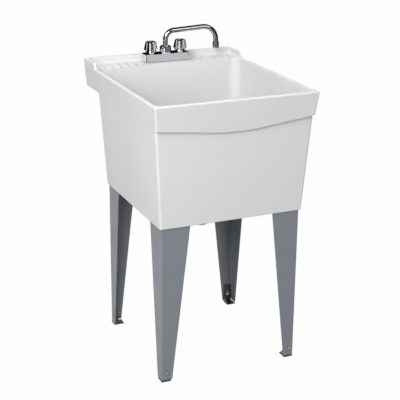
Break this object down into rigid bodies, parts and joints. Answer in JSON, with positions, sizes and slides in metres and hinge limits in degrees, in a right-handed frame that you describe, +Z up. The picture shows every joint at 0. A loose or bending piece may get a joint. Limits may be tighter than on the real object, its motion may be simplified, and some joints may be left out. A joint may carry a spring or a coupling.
{
  "type": "utility laundry sink",
  "caption": "Freestanding moulded laundry tub on tapered steel legs with levelling feet, rear ledge with soap trays, centreset faucet with swing spout, and slip-joint drain with stopper",
  "frame": {"origin": "on the floor, under the middle of the bounding box", "axes": "+Z up, +X to the right and +Y to the back, seen from the front"},
  "size_m": [0.508, 0.6096, 0.9607],
  "materials": {
    "tub_plastic": "smooth white moulded reinforced plastic, semi-gloss",
    "leg_enamel": "grey baked enamel on sheet steel",
    "foot_enamel": "grey baked enamel on sheet steel",
    "zinc_plate": "bright zinc-plated steel",
    "faucet_chrome": "polished chrome plate",
    "cap_chrome": "polished chrome plate, domed",
    "bare_brass": "turned bare brass",
    "black_rubber": "moulded black rubber",
    "drain_plastic": "moulded white polypropylene"
  },
  "bodies": {
    "basin": {"tub_basin": "tub_plastic", "leg_front_left": "leg_enamel", "leg_front_right": "leg_enamel", "leg_rear_left": "leg_enamel", "leg_rear_right": "leg_enamel", "foot_bolts": "zinc_plate", "foot_nuts": "zinc_plate", "faucet_body": "faucet_chrome", "faucet_gasket": "black_rubber", "faucet_locknuts": "bare_brass", "hot_cartridge": "faucet_chrome", "cold_cartridge": "faucet_chrome", "spout_nut": "faucet_chrome", "drain_flange": "drain_plastic", "drain_gasket": "black_rubber", "drain_locknut": "drain_plastic", "tailpiece": "drain_plastic", "tailpiece_washer": "black_rubber", "tailpiece_nut": "drain_plastic"},
    "foot_fl": {"foot_front_left": "foot_enamel"},
    "foot_fr": {"foot_front_right": "foot_enamel"},
    "foot_rl": {"foot_rear_left": "foot_enamel"},
    "foot_rr": {"foot_rear_right": "foot_enamel"},
    "hot_valve": {"hot_stem": "faucet_chrome", "hot_handle": "faucet_chrome", "hot_handle_screw": "zinc_plate", "hot_index_cap": "cap_chrome"},
    "cold_valve": {"cold_stem": "faucet_chrome", "cold_handle": "faucet_chrome", "cold_handle_screw": "zinc_plate", "cold_index_cap": "cap_chrome"},
    "spout": {"spout_tube": "faucet_chrome", "spout_collar": "faucet_chrome", "spout_oring": "black_rubber", "aerator_shell": "faucet_chrome", "aerator_washer": "black_rubber", "aerator_screen": "drain_plastic"},
    "stopper": {"drain_stopper": "black_rubber"}
  },
  "joints": [
    {"name": "spout_swivel", "type": "hinge", "parent": "basin", "child": "spout", "pos_m": [0.008, 0.264, 0.892], "axis": [0, 0, 1], "range_deg": [-185, 5]},
    {"name": "hot_handle_turn", "type": "hinge", "parent": "basin", "child": "hot_valve", "pos_m": [-0.0428, 0.264, 0.898], "axis": [0, 0, 1], "range_deg": [0, 90]},
    {"name": "cold_handle_turn", "type": "hinge", "parent": "basin", "child": "cold_valve", "pos_m": [0.0588, 0.264, 0.898], "axis": [0, 0, -1], "range_deg": [0, 90]},
    {"name": "stopper_lift", "type": "slide", "parent": "basin", "child": "stopper", "axis": [0, 0, 1], "range_m": [0, 0.06]},
    {"name": "foot_front_left_level", "type": "slide", "parent": "basin", "child": "foot_fl", "axis": [0, 0, -1], "range_m": [0, 0.02]},
    {"name": "foot_front_right_level", "type": "slide", "parent": "basin", "child": "foot_fr", "axis": [0, 0, -1], "range_m": [0, 0.02]},
    {"name": "foot_rear_left_level", "type": "slide", "parent": "basin", "child": "foot_rl", "axis": [0, 0, -1], "range_m": [0, 0.02]},
    {"name": "foot_rear_right_level", "type": "slide", "parent": "basin", "child": "foot_rr", "axis": [0, 0, -1], "range_m": [0, 0.02]}
  ]
}
